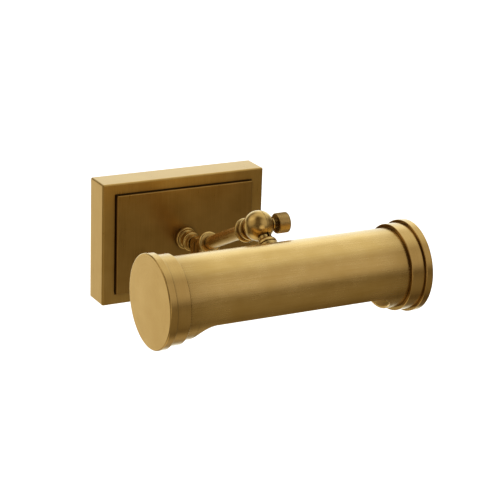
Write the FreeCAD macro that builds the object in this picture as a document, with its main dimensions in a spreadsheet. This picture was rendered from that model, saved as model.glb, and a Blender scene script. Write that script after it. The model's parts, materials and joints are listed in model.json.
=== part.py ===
import FreeCAD, Part
import math
import os

import Sketcher

# Brass picture light on a rectangular wall plate: a turned stub carries a hinged arm, a split ball
# swivel with a thumbscrew carries the half-open cylindrical shade, and a tubular lamp lies in it.
# Frame: X along the shade, +Y into the wall, +Z up. Origin: centre of the plate's rim, on the wall.

doc = FreeCAD.newDocument("PictureLight")
sheet = doc.addObject("Spreadsheet::Sheet", "Dim")

# Driving sizes, in millimetres and degrees.
sizes = {
    # Wall plate: a cast box, open at the back.
    "plate_width": 114.3,
    "plate_height": 81.0,
    "plate_depth": 19.5,
    "plate_wall": 2.0,
    "plate_front_wall": 2.6,
    "plate_round": 1.2,
    # Raised panel let into the plate's front.
    "panel_side_margin": 9.0,
    "panel_end_margin": 7.5,
    "panel_rise": 2.6,
    "panel_seat": 1.0,
    "panel_gap": 0.5,
    "panel_round": 0.6,
    # Hollow threaded nipple that draws the stub against the panel.
    "nipple_radius": 4.0,
    "nipple_bore": 2.6,
    "nipple_reach": 6.0,
    "nipple_tail": 3.0,
    "nipple_washer": 1.0,
    "nipple_washer_radius": 7.5,
    "nipple_nut": 3.0,
    "nipple_nut_flats": 12.0,
    "bushing_wall": 0.7,
    "bushing_flange": 1.2,
    "bushing_length": 6.0,
    # Steel box strap and the hanger riveted to it.
    "strap_length": 104.0,
    "strap_width": 20.0,
    "strap_sheet": 1.6,
    "strap_hub_radius": 16.0,
    "wire_hole_radius": 9.0,
    "slot_spacing": 88.9,
    "slot_width": 4.6,
    "slot_length": 12.0,
    "hanger_width": 40.0,
    "hanger_sheet": 1.6,
    "hanger_tab": 12.0,
    "hanger_bend": 1.0,
    "hanger_gap": 0.3,
    "rivet_radius": 1.6,
    "rivet_head_radius": 2.8,
    "rivet_head": 0.9,
    "rivet_offset": 14.0,
    "ground_screw_offset": 27.0,
    "ground_screw_radius": 2.0,
    "ground_head_radius": 4.0,
    "ground_head": 2.2,
    # Screws through the plate's lower wall into the hanger's tab.
    "canopy_screw_radius": 2.0,
    "canopy_screw_spacing": 26.0,
    "canopy_screw_length": 8.0,
    "canopy_head_radius": 3.6,
    "canopy_head": 1.6,
    "screw_slot": 0.9,
    "screw_slot_depth": 0.8,
    # Turned stub on the panel.
    "stub_base_radius": 7.4,
    "stub_base": 2.9,
    "stub_neck_radius": 5.0,
    "stub_cove": 2.0,
    "stub_bead_radius": 6.4,
    "stub_bead": 3.0,
    "stub_bead_place": 8.9,
    "stub_pivot": 20.5,
    # Root knuckle, a lapped hinge with a screw and cap nut.
    "lug_radius": 6.5,
    "lug_sheet": 3.4,
    "lug_web": 9.4,
    "lug_shoulder": 0.5,
    "lug_root": 1.0,
    "pivot_washer": 0.5,
    "pivot_washer_radius": 5.6,
    "pivot_radius": 2.0,
    "pivot_head": 1.4,
    "pivot_nut_flats": 6.6,
    "pivot_nut": 2.6,
    # Arm.
    "arm_rise": 25.8,
    "arm_length": 86.5,
    "arm_collar_radius": 5.3,
    "arm_collar": 7.4,
    "arm_socket": 5.4,
    "arm_ring_radius": 7.45,
    "arm_ring": 3.0,
    "tube_radius": 4.25,
    "tube_wall": 1.0,
    "tube_end": 16.6,
    "end_ring_place": 17.7,
    "end_ring_radius": 7.5,
    "end_ring": 2.6,
    "end_groove_radius": 5.5,
    "tip_ring_place": 12.4,
    "tip_ring_radius": 7.0,
    "tip_ring": 2.6,
    "spigot_radius": 3.2,
    # Ball swivel, split across the hinge axis with a friction washer in the split.
    "ball_radius": 9.3,
    "ball_neck_radius": 4.5,
    "ball_relief": 0.12,
    "split_place": 1.2,
    "split_washer": 0.4,
    "split_washer_inset": 0.15,
    "ball_flat": 0.75,
    # Thumbscrew.
    "thumb_radius": 2.4,
    "thumb_reach": 7.0,
    "thumb_gap": 3.0,
    "thumb_head_radius": 6.2,
    "thumb_head": 6.7,
    "thumb_chamfer": 0.8,
    "thumb_washer": 0.8,
    "thumb_washer_radius": 3.5,
    # Stem, bell collar and fixings between ball and shade.
    "stem_angle": 127.2,
    "stem_drop": 41.4,
    "stem_neck_radius": 3.6,
    "stem_neck": 13.5,
    "stem_radius": 2.5,
    "stem_bore": 1.5,
    "stem_thread": 3.7,
    "stem_tail": 0.8,
    "bell_place": 11.0,
    "bell_top_radius": 4.5,
    "bell_radius": 6.4,
    "bell_height": 3.9,
    "bell_bulge": 3.6,
    "bell_foot": 0.5,
    "shade_washer": 0.8,
    "shade_washer_radius": 4.6,
    "shade_nut": 3.0,
    "shade_nut_flats": 8.0,
    # Shade.
    "shade_length": 172.4,
    "shade_radius": 24.1,
    "shade_wall": 1.2,
    "mouth_angle": 62.2,
    "mouth_margin": 7.0,
    "mouth_corner": 12.0,
    "ring_radius": 26.3,
    "ring_width": 9.0,
    "rim_chamfer": 0.4,
    "cap_radius": 27.9,
    "cap_width": 4.8,
    "cap_wall": 1.8,
    "cap_round": 0.7,
    "cap_spigot": 6.0,
    "cap_spigot_wall": 1.6,
    # Lamp holder and its bracket.
    "bracket_sheet": 1.2,
    "bracket_width": 12.0,
    "bracket_bend": 1.2,
    "bracket_tail": 8.0,
    "bracket_leg": 7.0,
    "holder_place": 62.0,
    "holder_radius": 10.0,
    "holder_length": 26.0,
    "holder_floor": 4.0,
    "holder_wall": 3.2,
    "shell_wall": 0.5,
    "shell_length": 19.0,
    "contact_radius": 2.6,
    "contact_height": 1.4,
    "holder_screw_radius": 1.5,
    "holder_screw_head": 1.4,
    "holder_screw_head_radius": 2.8,
    # Tubular lamp.
    "base_radius": 5.95,
    "base_length": 21.0,
    "base_tip_radius": 2.2,
    "base_tip": 2.4,
    "glass_radius": 10.0,
    "glass_length": 86.0,
    "glass_wall": 0.9,
    "glass_shoulder": 7.0,
    "filament_post_radius": 2.0,
    "filament_post": 7.0,
    "filament_radius": 0.9,
    "filament_length": 62.0,
    # Clearances.
    "running_fit": 0.05,
    "seat_fit": 0.05,
    "loose_fit": 0.15,
}


class Size:
    """A size that carries its number and the spreadsheet expression that gives it."""

    def __init__(self, value, text):
        self.value = float(value)
        self.text = text

    def __add__(self, other):
        return Size(self.value + number(other), f"({self.text} + {text(other)})")

    def __sub__(self, other):
        return Size(self.value - number(other), f"({self.text} - {text(other)})")

    def __mul__(self, other):
        return Size(self.value * number(other), f"({self.text} * {text(other)})")

    def __truediv__(self, other):
        return Size(self.value / number(other), f"({self.text} / {text(other)})")

    def __neg__(self):
        return Size(-self.value, f"(0 - {self.text})")

    def __rsub__(self, other):
        return Size(number(other) - self.value, f"({text(other)} - {self.text})")

    __radd__ = __add__
    __rmul__ = __mul__


def number(size):
    return size.value if isinstance(size, Size) else float(size)


def text(size):
    return size.text if isinstance(size, Size) else repr(size)


def root(size):
    return Size(math.sqrt(size.value), f"sqrt({size.text})")


def sine(angle):
    return Size(math.sin(math.radians(angle.value)), f"sin({angle.text})")


def cosine(angle):
    return Size(math.cos(math.radians(angle.value)), f"cos({angle.text})")


class Dimensions:
    """Gives each driving size by its name."""


dim = Dimensions()
for row, (alias, value) in enumerate(sizes.items(), start=1):
    sheet.set(f"A{row}", alias.replace("_", " "))
    sheet.set(f"B{row}", str(value))
    sheet.setAlias(f"B{row}", alias)
    setattr(dim, alias, Size(value, f"Dim.{alias}"))
doc.recompute()

pieces = []


# Helpers for bodies, sketches and features.


def bind(thing, path, size):
    thing.setExpression(path, text(size))


def body(label):
    made = doc.addObject("PartDesign::Body", label)
    made.Label = label
    made.AllowCompound = True
    return made


def sketch(owner, role, height=0, rise=0):
    """A sketch on one of the body's origin planes, moved by height along its normal, by rise along its Y."""
    made = owner.newObject("Sketcher::SketchObject", owner.Name + "_sketch")
    plane = next(p for p in owner.Origin.OriginFeatures if p.Role == role)
    made.AttachmentSupport = [(plane, "")]
    made.MapMode = "FlatFace"
    bind(made, "AttachmentOffset.Base.z", height)
    bind(made, "AttachmentOffset.Base.y", rise)
    return made


def pin_point(drawn, index, end, x, y):
    """Fixes one end of a line or arc at x, y."""
    for kind, place, axis in (("DistanceX", x, -2), ("DistanceY", y, -1)):
        if number(place) == 0 and not isinstance(place, Size):
            drawn.addConstraint(Sketcher.Constraint("PointOnObject", index, end, axis))
            continue
        row = drawn.addConstraint(Sketcher.Constraint(kind, index, end, number(place)))
        bind(drawn, f"Constraints[{row}]", place)


def arc_between(start, finish, radius):
    """Short arc from start to finish; it turns left for a positive radius and right for a negative one."""
    chord = finish - start
    rise = math.sqrt(max(radius * radius - (chord.Length / 2) ** 2, 0))
    side = FreeCAD.Vector(-chord.y, chord.x, 0).normalize()
    towards = 1 if radius > 0 else -1
    centre = start + chord * 0.5 + side * rise * towards
    first = math.atan2(start.y - centre.y, start.x - centre.x)
    last = math.atan2(finish.y - centre.y, finish.x - centre.x)
    if towards < 0:
        first, last = last, first
    circle = Part.Circle(centre, FreeCAD.Vector(0, 0, 1), abs(radius))
    return Part.ArcOfCircle(circle, first, last)


def outline(drawn, points):
    """Closed outline through the points; a third value on a point is the radius of the arc that leaves it."""
    places = [FreeCAD.Vector(number(p[0]), number(p[1]), 0) for p in points]
    ends = []
    for index, point in enumerate(points):
        start, finish = places[index], places[(index + 1) % len(points)]
        if len(point) == 2:
            made = drawn.addGeometry(Part.LineSegment(start, finish), False)
            ends.append((made, 1, 2))
            continue
        made = drawn.addGeometry(arc_between(start, finish, number(point[2])), False)
        row = drawn.addConstraint(Sketcher.Constraint("Radius", made, abs(number(point[2]))))
        bind(drawn, f"Constraints[{row}]", point[2] if number(point[2]) > 0 else -point[2])
        ends.append((made, 1, 2) if number(point[2]) > 0 else (made, 2, 1))
    for index, point in enumerate(points):
        before = ends[index - 1]
        after = ends[index]
        drawn.addConstraint(Sketcher.Constraint("Coincident", before[0], before[2], after[0], after[1]))
        pin_point(drawn, after[0], after[1], point[0], point[1])
    return drawn


def rectangle(drawn, left, low, right, high):
    return outline(drawn, [(left, low), (right, low), (right, high), (left, high)])


def circle(drawn, x, y, radius):
    centre = FreeCAD.Vector(number(x), number(y), 0)
    made = drawn.addGeometry(Part.Circle(centre, FreeCAD.Vector(0, 0, 1), number(radius)), False)
    row = drawn.addConstraint(Sketcher.Constraint("Radius", made, number(radius)))
    bind(drawn, f"Constraints[{row}]", radius)
    pin_point(drawn, made, 3, x, y)
    return drawn


def hexagon(drawn, flats):
    """Hexagon about the sketch's origin, with two flats across the given distance."""
    half = flats / 2
    side = flats / math.sqrt(3)
    return outline(drawn, [(side, 0), (side / 2, half), (-side / 2, half),
                           (-side, 0), (-side / 2, -half), (side / 2, -half)])


def turned(owner, points):
    """Solid of revolution about the body's Z axis; each point is radius, height and perhaps an arc."""
    made = owner.newObject("PartDesign::Revolution", owner.Name + "_turned")
    made.Profile = outline(sketch(owner, "XZ_Plane"), points)
    made.ReferenceAxis = (made.Profile[0], ["V_Axis"])
    made.Angle = 360
    doc.recompute()
    return made


def pad(owner, drawn, length):
    """Adds material from the sketch along its normal."""
    made = owner.newObject("PartDesign::Pad", owner.Name + "_pad")
    made.Profile = drawn
    bind(made, "Length", length)
    doc.recompute()
    return made


def pocket(owner, drawn, length):
    """Cuts from the sketch along its normal, and makes sure that something was cut."""
    before = owner.Shape.Volume
    made = owner.newObject("PartDesign::Pocket", owner.Name + "_pocket")
    made.Profile = drawn
    made.Reversed = True
    bind(made, "Length", length)
    doc.recompute()
    if owner.Shape.Volume >= before:
        raise RuntimeError(f"{made.Name} cuts nothing")
    return made


def turned_cut(owner, points, centre=0):
    """Cuts away a region turned about a line along X, at the height centre on the body's Z axis."""
    before = owner.Shape.Volume
    made = owner.newObject("PartDesign::Groove", owner.Name + "_turned_cut")
    made.Profile = outline(sketch(owner, "XZ_Plane", rise=centre), points)
    made.ReferenceAxis = (made.Profile[0], ["H_Axis"])
    made.Angle = 360
    doc.recompute()
    if owner.Shape.Volume >= before:
        raise RuntimeError(f"{made.Name} cuts nothing")
    return made


def rounded(owner, base, radius, chosen):
    """Rounds the edges of base whose middle passes the test chosen."""
    names = [f"Edge{i}" for i, edge in enumerate(base.Shape.Edges, start=1)
             if chosen(edge.valueAt((edge.FirstParameter + edge.LastParameter) / 2))]
    made = owner.newObject("PartDesign::Fillet", owner.Name + "_round")
    made.Base = (base, names)
    bind(made, "Radius", radius)
    doc.recompute()
    return made


def set_place(thing, x=0, y=0, z=0, facing=None, tilt=0):
    """Sets a thing's place from sizes; its Z axis faces a fixed way or is tilted about X by an angle."""
    turn = FreeCAD.Rotation(FreeCAD.Vector(1, 0, 0), number(tilt))
    if facing:
        turn = FreeCAD.Rotation(FreeCAD.Vector(0, 0, 1), FreeCAD.Vector(*facing))
    thing.Placement = FreeCAD.Placement(FreeCAD.Vector(number(x), number(y), number(z)), turn)
    for name, size in (("Base.x", x), ("Base.y", y), ("Base.z", z), ("Rotation.Angle", tilt)):
        if isinstance(size, Size):
            bind(thing, f"Placement.{name}", size)
    return thing


def place(thing, **where):
    """Places a finished sub-part and lists it for the check and the export."""
    pieces.append(set_place(thing, **where))


def pair(label, source):
    """The source and its mirror image across the YZ plane, as two solids in one sub-part."""
    other = doc.addObject("Part::Mirroring", source.Name + "_mirrored")
    other.Source = source
    other.Normal = FreeCAD.Vector(1, 0, 0)
    both = doc.addObject("Part::Compound", label)
    both.Label = label
    both.Links = [source, other]
    pieces.append(both)


def mirrored(label, source):
    """The source's mirror image across the YZ plane."""
    made = doc.addObject("Part::Mirroring", label)
    made.Label = label
    made.Source = source
    made.Normal = FreeCAD.Vector(1, 0, 0)
    pieces.append(made)


def ring_bead(inner, radius, middle, width):
    """Outline points of a rounded bead on a turned piece, from its near side to its far side."""
    half = width / 2
    return [(inner, middle - half), (radius - half, middle - half, half),
            (radius, middle, half), (radius - half, middle + half), (inner, middle + half)]


# The plate and its fittings are drawn looking at the wall, so their Z faces away from it. What turns
# about a hinge or lies along the shade has its Z along X.
OUT_OF_WALL = (0, -1, 0)
ALONG_X = (1, 0, 0)

# Wall plate.
plate_front = dim.plate_depth
plate_inside = dim.plate_depth - dim.plate_front_wall
nipple_hole = dim.nipple_radius + dim.loose_fit
panel_width = dim.plate_width - dim.panel_side_margin * 2
panel_height = dim.plate_height - dim.panel_end_margin * 2
tab_middle = dim.strap_sheet + dim.hanger_sheet + dim.hanger_tab / 2

canopy = body("canopy")
shell = pad(canopy, rectangle(sketch(canopy, "XY_Plane"), -dim.plate_width / 2, -dim.plate_height / 2,
                              dim.plate_width / 2, dim.plate_height / 2), dim.plate_depth)
rounded(canopy, shell, dim.plate_round, lambda middle: middle.z > number(dim.plate_wall))
hollow_side = dim.plate_width / 2 - dim.plate_wall
hollow_end = dim.plate_height / 2 - dim.plate_wall
pocket(canopy, rectangle(sketch(canopy, "XY_Plane"), -hollow_side, -hollow_end, hollow_side, hollow_end),
       plate_inside)
pocket(canopy, rectangle(sketch(canopy, "XY_Plane", plate_front - dim.panel_seat),
                         -panel_width / 2 - dim.panel_gap, -panel_height / 2 - dim.panel_gap,
                         panel_width / 2 + dim.panel_gap, panel_height / 2 + dim.panel_gap), dim.panel_seat)
pocket(canopy, circle(sketch(canopy, "XY_Plane"), 0, 0, nipple_hole), dim.plate_depth)
for side in (-1, 1):
    hole = circle(sketch(canopy, "XZ_Plane", dim.plate_height / 2 - dim.plate_wall * 1.5),
                  dim.canopy_screw_spacing / 2 * side, tab_middle, dim.canopy_screw_radius + dim.loose_fit)
    pocket(canopy, hole, dim.plate_wall * 2)
place(canopy, facing=OUT_OF_WALL)

# Raised panel, seated in the shallow recess of the plate's front.
face_panel = body("face_panel")
slab = pad(face_panel, rectangle(sketch(face_panel, "XY_Plane"), -panel_width / 2, -panel_height / 2,
                                 panel_width / 2, panel_height / 2), dim.panel_seat + dim.panel_rise)
rounded(face_panel, slab, dim.panel_round, lambda middle: middle.z > number(dim.panel_seat))
pocket(face_panel, circle(sketch(face_panel, "XY_Plane"), 0, 0, nipple_hole), dim.panel_seat + dim.panel_rise)
place(face_panel, y=dim.panel_seat - plate_front, facing=OUT_OF_WALL)
panel_front = plate_front + dim.panel_rise

# Stub: a turned foot, cove and bead that end in the right-hand lug of the root knuckle.
shoulder = dim.lug_radius + dim.lug_shoulder
stub_end = dim.stub_pivot - shoulder
cove_start = dim.stub_base + dim.stub_cove
stub = body("stub")
turned(stub, [
    (0, dim.nipple_reach),
    (dim.nipple_radius + dim.seat_fit, dim.nipple_reach),
    (dim.nipple_radius + dim.seat_fit, 0),
    (dim.stub_base_radius, 0),
    (dim.stub_base_radius, dim.stub_base - dim.stub_cove / 2, dim.stub_cove / 2),
    (dim.stub_base_radius - dim.stub_cove / 2, dim.stub_base, -dim.stub_cove),
    (dim.stub_neck_radius, cove_start),
    *ring_bead(dim.stub_neck_radius, dim.stub_bead_radius, dim.stub_bead_place, dim.stub_bead),
    (dim.stub_neck_radius, stub_end),
    (0, stub_end),
])
lug_face = dim.pivot_washer / 2
pad(stub, circle(sketch(stub, "YZ_Plane", lug_face), 0, dim.stub_pivot, dim.lug_radius), dim.lug_sheet)
pad(stub, rectangle(sketch(stub, "YZ_Plane", lug_face), -dim.lug_web / 2, stub_end - dim.lug_root,
                    dim.lug_web / 2, dim.stub_pivot), dim.lug_sheet)
pocket(stub, circle(sketch(stub, "YZ_Plane"), 0, dim.stub_pivot, dim.pivot_radius + dim.running_fit),
       dim.lug_sheet * 2)
place(stub, y=-panel_front, facing=OUT_OF_WALL)

# Nipple with its lock washer, nut and the plastic bushing that guards the wires.
nipple_start = plate_inside - dim.nipple_washer - dim.nipple_nut - dim.nipple_tail
nipple_length = panel_front + dim.nipple_reach - nipple_start
threaded_nipple = body("threaded_nipple")
pad(threaded_nipple, circle(sketch(threaded_nipple, "XY_Plane"), 0, 0, dim.nipple_radius), nipple_length)
pocket(threaded_nipple, circle(sketch(threaded_nipple, "XY_Plane"), 0, 0, dim.nipple_bore), nipple_length)
place(threaded_nipple, y=-nipple_start, facing=OUT_OF_WALL)

nipple_lock_washer = body("nipple_lock_washer")
pad(nipple_lock_washer, circle(circle(sketch(nipple_lock_washer, "XY_Plane"), 0, 0, dim.nipple_washer_radius),
                               0, 0, nipple_hole), dim.nipple_washer)
place(nipple_lock_washer, y=dim.nipple_washer - plate_inside, facing=OUT_OF_WALL)

nipple_nut = body("nipple_nut")
pad(nipple_nut, circle(hexagon(sketch(nipple_nut, "XY_Plane"), dim.nipple_nut_flats),
                       0, 0, dim.nipple_radius + dim.seat_fit), dim.nipple_nut)
place(nipple_nut, y=dim.nipple_washer + dim.nipple_nut - plate_inside, facing=OUT_OF_WALL)

bushing_outer = dim.nipple_bore - dim.seat_fit
nipple_bushing = body("nipple_bushing")
turned(nipple_bushing, [
    (bushing_outer - dim.bushing_wall, -dim.bushing_flange),
    (dim.nipple_radius, -dim.bushing_flange),
    (dim.nipple_radius, 0),
    (bushing_outer, 0),
    (bushing_outer, dim.bushing_length),
    (bushing_outer - dim.bushing_wall, dim.bushing_length),
])
place(nipple_bushing, y=-nipple_start, facing=OUT_OF_WALL)

# Box strap: a slotted steel strip across the wall box, with a round hub and a hole for the wires.
strap = body("box_strap")
pad(strap, rectangle(sketch(strap, "XY_Plane"), -dim.strap_length / 2, -dim.strap_width / 2,
                     dim.strap_length / 2, dim.strap_width / 2), dim.strap_sheet)
pad(strap, circle(sketch(strap, "XY_Plane"), 0, 0, dim.strap_hub_radius), dim.strap_sheet)
pocket(strap, circle(sketch(strap, "XY_Plane"), 0, 0, dim.wire_hole_radius), dim.strap_sheet)
slot_flat = (dim.slot_length - dim.slot_width) / 2
slot_end = dim.slot_width / 2
for side in (-1, 1):
    middle = dim.slot_spacing / 2 * side
    pocket(strap, outline(sketch(strap, "XY_Plane"), [
        (middle - slot_flat, -slot_end),
        (middle + slot_flat, -slot_end, slot_end), (middle + slot_flat + slot_end, 0, slot_end),
        (middle + slot_flat, slot_end),
        (middle - slot_flat, slot_end, slot_end), (middle - slot_flat - slot_end, 0, slot_end),
    ]), dim.strap_sheet)
    pocket(strap, circle(sketch(strap, "XY_Plane"), dim.rivet_offset * side, 0,
                         dim.rivet_radius + dim.seat_fit), dim.strap_sheet)
pocket(strap, circle(sketch(strap, "XY_Plane"), dim.ground_screw_offset, 0,
                     dim.ground_screw_radius + dim.seat_fit), dim.strap_sheet)
place(strap, facing=OUT_OF_WALL)

# Hanger: a bent steel plate, riveted to the strap, whose tabs hold the plate at top and bottom.
tab_face = dim.plate_height / 2 - dim.plate_wall - dim.hanger_gap
hanger_back = dim.strap_sheet
hanger_front = dim.strap_sheet + dim.hanger_sheet
tab_end = hanger_front + dim.hanger_tab
tab_inner = tab_face - dim.hanger_sheet
bend_outer = dim.hanger_bend + dim.hanger_sheet
hanger = body("canopy_hanger")
pad(hanger, outline(sketch(hanger, "YZ_Plane", -dim.hanger_width / 2), [
    (bend_outer - tab_face, hanger_back),
    (tab_face - bend_outer, hanger_back, bend_outer),
    (tab_face, hanger_back + bend_outer),
    (tab_face, tab_end),
    (tab_inner, tab_end),
    (tab_inner, hanger_front + dim.hanger_bend, -dim.hanger_bend),
    (tab_inner - dim.hanger_bend, hanger_front),
    (dim.hanger_bend - tab_inner, hanger_front, -dim.hanger_bend),
    (-tab_inner, hanger_front + dim.hanger_bend),
    (-tab_inner, tab_end),
    (-tab_face, tab_end),
    (-tab_face, hanger_back + bend_outer, bend_outer),
]), dim.hanger_width)
pocket(hanger, circle(sketch(hanger, "XY_Plane", hanger_back), 0, 0, dim.wire_hole_radius), dim.hanger_sheet)
for side in (-1, 1):
    pocket(hanger, circle(sketch(hanger, "XY_Plane", hanger_back), dim.rivet_offset * side, 0,
                          dim.rivet_radius + dim.seat_fit), dim.hanger_sheet)
    pocket(hanger, circle(sketch(hanger, "XZ_Plane", tab_inner - dim.hanger_gap),
                          dim.canopy_screw_spacing / 2 * side, tab_middle,
                          dim.canopy_screw_radius + dim.seat_fit), dim.hanger_sheet * 2)
place(hanger, facing=OUT_OF_WALL)

# Two rivets through strap and hanger; the back ends are flush.
rivet_master = body("rivet_master")
turned(rivet_master, [
    (0, 0),
    (dim.rivet_radius, 0),
    (dim.rivet_radius, hanger_front),
    (dim.rivet_head_radius, hanger_front),
    (dim.rivet_head_radius - dim.rivet_head / 2, hanger_front + dim.rivet_head),
    (0, hanger_front + dim.rivet_head),
])
pair("hanger_rivets", set_place(rivet_master, x=dim.rivet_offset, facing=OUT_OF_WALL))

# Earthing screw on the strap.
ground_screw = body("ground_screw")
head_top = dim.strap_sheet + dim.ground_head
turned(ground_screw, [
    (0, 0),
    (dim.ground_screw_radius, 0),
    (dim.ground_screw_radius, dim.strap_sheet),
    (dim.ground_head_radius, dim.strap_sheet),
    (dim.ground_head_radius, head_top),
    (0, head_top),
])
pocket(ground_screw, rectangle(sketch(ground_screw, "XY_Plane", head_top - dim.screw_slot_depth),
                               -dim.ground_head_radius, -dim.screw_slot / 2,
                               dim.ground_head_radius, dim.screw_slot / 2), dim.screw_slot_depth)
place(ground_screw, x=dim.ground_screw_offset, facing=OUT_OF_WALL)

# Two slotted screws, driven upwards through the plate's lower wall into the hanger's tab.
screw_master = body("screw_master")
turned(screw_master, [
    (0, -dim.canopy_head),
    (dim.canopy_head_radius - dim.canopy_head / 2, -dim.canopy_head),
    (dim.canopy_head_radius, 0),
    (dim.canopy_screw_radius, 0),
    (dim.canopy_screw_radius, dim.canopy_screw_length),
    (0, dim.canopy_screw_length),
])
pocket(screw_master, rectangle(sketch(screw_master, "XY_Plane", -dim.canopy_head),
                               -dim.canopy_head_radius, -dim.screw_slot / 2,
                               dim.canopy_head_radius, dim.screw_slot / 2), dim.screw_slot_depth)
pair("canopy_screws", set_place(screw_master, x=dim.canopy_screw_spacing / 2, y=-tab_middle,
                                z=-dim.plate_height / 2))

# The arm's pieces are drawn with Z along the arm and their origin at the root pivot.
pivot_y = -(panel_front + dim.stub_pivot)
along_arm = {"y": pivot_y, "tilt": 90 - dim.arm_rise}
ring_end = shoulder + dim.arm_collar + dim.arm_ring
socket_floor = ring_end - dim.arm_socket
tube_fit = dim.tube_radius + dim.seat_fit
tube_stop = dim.arm_length - dim.tube_end

# Arm knuckle: the left-hand lug, a turned collar and a bead, bored for the tube.
arm_knuckle = body("arm_knuckle")
turned(arm_knuckle, [
    (0, shoulder),
    (dim.arm_collar_radius, shoulder),
    *ring_bead(dim.arm_collar_radius, dim.arm_ring_radius, ring_end - dim.arm_ring / 2, dim.arm_ring),
    (tube_fit, ring_end),
    (tube_fit, socket_floor),
    (0, socket_floor),
])
arm_lug = -lug_face - dim.lug_sheet
pad(arm_knuckle, circle(sketch(arm_knuckle, "YZ_Plane", arm_lug), 0, 0, dim.lug_radius), dim.lug_sheet)
pad(arm_knuckle, rectangle(sketch(arm_knuckle, "YZ_Plane", arm_lug), -dim.lug_web / 2, 0,
                           dim.lug_web / 2, shoulder + dim.lug_root), dim.lug_sheet)
screw_hole = dim.pivot_radius + dim.seat_fit
pocket(arm_knuckle, circle(sketch(arm_knuckle, "YZ_Plane", arm_lug), 0, 0, screw_hole), dim.lug_sheet)
turned_cut(arm_knuckle, [
    (arm_lug, 0),
    (arm_lug + dim.pivot_head, 0),
    (arm_lug + dim.pivot_head, screw_hole),
    (arm_lug, screw_hole + dim.pivot_head),
])
place(arm_knuckle, **along_arm)

# Countersunk pivot screw, friction washer and nut, on the hinge's axis.
across_arm = {"y": pivot_y, "facing": ALONG_X}
pivot_screw = body("pivot_screw")
nut_under = lug_face + dim.lug_sheet + dim.running_fit
pivot_head_radius = dim.pivot_radius + dim.pivot_head
turned(pivot_screw, [
    (0, arm_lug),
    (pivot_head_radius, arm_lug),
    (dim.pivot_radius, arm_lug + dim.pivot_head),
    (dim.pivot_radius, nut_under + dim.pivot_nut),
    (0, nut_under + dim.pivot_nut),
])
pocket(pivot_screw, rectangle(sketch(pivot_screw, "XY_Plane", arm_lug),
                              -pivot_head_radius, -dim.screw_slot / 2,
                              pivot_head_radius, dim.screw_slot / 2), dim.screw_slot_depth)
place(pivot_screw, **across_arm)

pivot_washer = body("pivot_washer")
pad(pivot_washer, circle(circle(sketch(pivot_washer, "XY_Plane", -lug_face), 0, 0, dim.pivot_washer_radius),
                         0, 0, dim.pivot_radius + dim.seat_fit), dim.pivot_washer - dim.running_fit)
place(pivot_washer, **across_arm)

pivot_nut = body("pivot_nut")
pad(pivot_nut, circle(hexagon(sketch(pivot_nut, "XY_Plane", nut_under), dim.pivot_nut_flats),
                      0, 0, dim.pivot_radius + dim.seat_fit), dim.pivot_nut)
place(pivot_nut, **across_arm)

# Arm tube.
arm_tube = body("arm_tube")
pad(arm_tube, circle(circle(sketch(arm_tube, "XY_Plane", socket_floor), 0, 0, dim.tube_radius),
                     0, 0, dim.tube_radius - dim.tube_wall), tube_stop - socket_floor)
place(arm_tube, **along_arm)

# End collar: two beads with a groove between, bored for the tube and for the swivel's spigot.
collar_start = dim.arm_length - dim.end_ring_place - dim.end_ring / 2
collar_end = dim.arm_length - dim.tip_ring_place + dim.tip_ring / 2
arm_end_collar = body("arm_end_collar")
turned(arm_end_collar, [
    (tube_fit, collar_start),
    *ring_bead(dim.end_groove_radius, dim.end_ring_radius, dim.arm_length - dim.end_ring_place, dim.end_ring),
    *ring_bead(dim.end_groove_radius, dim.tip_ring_radius, dim.arm_length - dim.tip_ring_place, dim.tip_ring),
    (dim.spigot_radius + dim.seat_fit, collar_end),
    (dim.spigot_radius + dim.seat_fit, tube_stop),
    (tube_fit, tube_stop),
])
place(arm_end_collar, **along_arm)

# Ball swivel. Each half is a whole ball with its neck, less the other half's side of the split;
# that cut is a little larger than the ball, so each neck clears the other half as it turns.
clear_ball = dim.ball_radius + dim.ball_relief
inner_face = dim.split_place - dim.split_washer / 2
outer_face = dim.split_place + dim.split_washer / 2
thumb_fit = dim.thumb_radius + dim.running_fit


def height_in_ball(radius, distance):
    """Half-chord of a circle at a distance from its centre."""
    return root(radius * radius - distance * distance)


neck_depth = height_in_ball(dim.ball_radius, dim.ball_neck_radius)
swivel_inner = body("swivel_inner")
turned(swivel_inner, [
    (0, tube_stop),
    (dim.spigot_radius, tube_stop),
    (dim.spigot_radius, collar_end),
    (dim.ball_neck_radius, collar_end),
    (dim.ball_neck_radius, dim.arm_length - neck_depth, dim.ball_radius),
    (dim.ball_radius, dim.arm_length, dim.ball_radius),
    (0, dim.arm_length + dim.ball_radius),
])
turned_cut(swivel_inner, [
    (inner_face, 0),
    (clear_ball, 0, clear_ball),
    (inner_face, height_in_ball(clear_ball, inner_face)),
], dim.arm_length)
pocket(swivel_inner, circle(sketch(swivel_inner, "YZ_Plane", -dim.thumb_reach), 0, dim.arm_length, thumb_fit),
       dim.thumb_reach + inner_face)
place(swivel_inner, **along_arm)

ball_y = pivot_y - dim.arm_length * cosine(dim.arm_rise)
ball_z = dim.arm_length * sine(dim.arm_rise)
across_ball = {"y": ball_y, "z": ball_z, "facing": ALONG_X}
along_stem = {"y": ball_y, "z": ball_z, "tilt": dim.stem_angle}

swivel_washer = body("swivel_washer")
washer_radius = height_in_ball(dim.ball_radius, dim.split_place) - dim.split_washer_inset
pad(swivel_washer, circle(circle(sketch(swivel_washer, "XY_Plane", inner_face), 0, 0, washer_radius),
                          0, 0, thumb_fit), dim.split_washer - dim.running_fit)
place(swivel_washer, **across_ball)

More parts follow.
